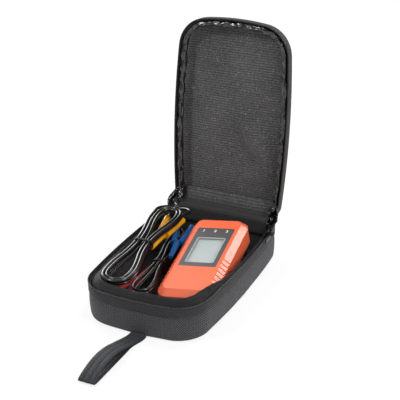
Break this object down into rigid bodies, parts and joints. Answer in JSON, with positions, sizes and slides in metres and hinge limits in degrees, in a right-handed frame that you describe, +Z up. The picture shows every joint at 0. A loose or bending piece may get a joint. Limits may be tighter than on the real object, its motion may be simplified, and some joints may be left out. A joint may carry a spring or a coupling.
{
  "type": "phase rotation tester in a carry case",
  "caption": "Hand-held phase rotation tester with a display, lying in an open soft zip case with coiled test leads and crocodile clips.",
  "frame": {"origin": "middle of the case's flat bottom", "axes": "+X to the right seen from the front, +Y to the hinge, +Z up"},
  "size_m": [0.1626, 0.4053, 0.2917],
  "materials": {
    "case_fabric": "fine woven nylon",
    "case_lining": "short pile",
    "case_binding": "glossy crumpled film",
    "zip_tape": "woven",
    "zip_coil": "nylon",
    "zip_metal": "black lacquer",
    "strap_webbing": "ribbed webbing",
    "housing": "satin moulded",
    "panel": "matt",
    "lens": "clear",
    "display": "grey-green",
    "display_frame": "light grey",
    "board": "green",
    "components": "matt",
    "socket_plastic": "matt",
    "socket_metal": "turned",
    "screw_steel": "zinc plated",
    "cable_pvc": "glossy PVC",
    "tie_black": "matt",
    "pin_metal": "nickel plated",
    "clip_steel": "nickel plated",
    "plastic_yellow": "satin",
    "plastic_red": "satin",
    "plastic_blue": "satin"
  },
  "bodies": {
    "base": {"case_base_shell": "case_fabric", "base_lining": "case_lining", "base_binding": "case_binding", "zip_tape_base": "zip_tape", "zip_coil_base": "zip_coil", "hinge_fold": "case_fabric", "hinge_strip_base": "case_fabric", "lead_hank_yellow": "cable_pvc", "lead_tie_yellow": "tie_black", "lead_clip_end_yellow": "cable_pvc", "lead_plug_end_yellow": "cable_pvc", "plug_grip_yellow": "plastic_yellow", "plug_pin_yellow": "pin_metal", "clip_body_yellow": "plastic_yellow", "clip_pin_yellow": "clip_steel", "clip_spring_yellow": "clip_steel", "lead_hank_red": "cable_pvc", "lead_tie_red": "tie_black", "lead_clip_end_red": "cable_pvc", "lead_plug_end_red": "cable_pvc", "plug_grip_red": "plastic_red", "plug_pin_red": "pin_metal", "clip_body_red": "plastic_red", "clip_pin_red": "clip_steel", "clip_spring_red": "clip_steel", "lead_hank_blue": "cable_pvc", "lead_tie_blue": "tie_black", "lead_clip_end_blue": "cable_pvc", "lead_plug_end_blue": "cable_pvc", "plug_grip_blue": "plastic_blue", "plug_pin_blue": "pin_metal", "clip_body_blue": "plastic_blue", "clip_pin_blue": "clip_steel", "clip_spring_blue": "clip_steel"},
    "lid": {"case_lid_shell": "case_fabric", "lid_lining": "case_lining", "lid_binding": "case_binding", "zip_tape_lid": "zip_tape", "zip_coil_lid": "zip_coil", "hinge_strip_lid": "case_fabric"},
    "slider": {"zip_slider": "zip_metal"},
    "pull": {"zip_pull": "zip_metal"},
    "strap": {"wrist_strap": "strap_webbing"},
    "tester": {"meter_front_shell": "housing", "meter_rear_shell": "housing", "display_panel": "panel", "display_window": "lens", "lcd_module": "display", "lcd_frame": "display_frame", "circuit_board": "board", "board_components": "components", "input_socket_1": "socket_plastic", "input_socket_2": "socket_plastic", "input_socket_3": "socket_plastic", "socket_sleeves": "socket_metal", "housing_screws": "screw_steel"},
    "lever_yellow": {"clip_lever_yellow": "plastic_yellow"},
    "lever_red": {"clip_lever_red": "plastic_red"},
    "lever_blue": {"clip_lever_blue": "plastic_blue"}
  },
  "joints": [
    {"name": "lid_hinge", "type": "hinge", "parent": "base", "child": "lid", "pos_m": [0, 0.1196, 0.046], "axis": [-1, 0, 0], "range_deg": [-97, 83]},
    {"name": "zip_slide", "type": "slide", "parent": "base", "child": "slider", "axis": [-0.0376, 0.9993, 0], "range_m": [-0.08, 0]},
    {"name": "zip_pull_flip", "type": "hinge", "parent": "slider", "child": "pull", "pos_m": [0.08044, 0.08416, 0.046], "axis": [0, 0, 1], "range_deg": [0, 150]},
    {"name": "strap_swing", "type": "hinge", "parent": "base", "child": "strap", "pos_m": [0, -0.1252, 0.0032], "axis": [-1, 0, 0], "range_deg": [0, 60]},
    {"name": "clip_open_yellow", "type": "hinge", "parent": "base", "child": "lever_yellow", "pos_m": [-0.043, 0.028, 0.0455], "axis": [0, 0, 1], "range_deg": [0, 10], "stiffness_Nm_per_rad": 0.5, "springref_deg": -17.19, "deforming": ["clip_spring_yellow"]},
    {"name": "clip_open_red", "type": "hinge", "parent": "base", "child": "lever_red", "pos_m": [-0.046, -0.036, 0.0129], "axis": [0, 0, -1], "range_deg": [0, 10], "stiffness_Nm_per_rad": 0.5, "springref_deg": -17.19, "deforming": ["clip_spring_red"]},
    {"name": "clip_open_blue", "type": "hinge", "parent": "base", "child": "lever_blue", "pos_m": [-0.0245, 0.0303, 0.0361], "axis": [0, 0, -1], "range_deg": [0, 10], "stiffness_Nm_per_rad": 0.5, "springref_deg": -17.19, "deforming": ["clip_spring_blue"]},
    {"name": "meter_lift", "type": "slide", "parent": "base", "child": "tester", "axis": [-0.0867, -0.1439, 0.9858], "range_m": [0, 0.12]}
  ]
}
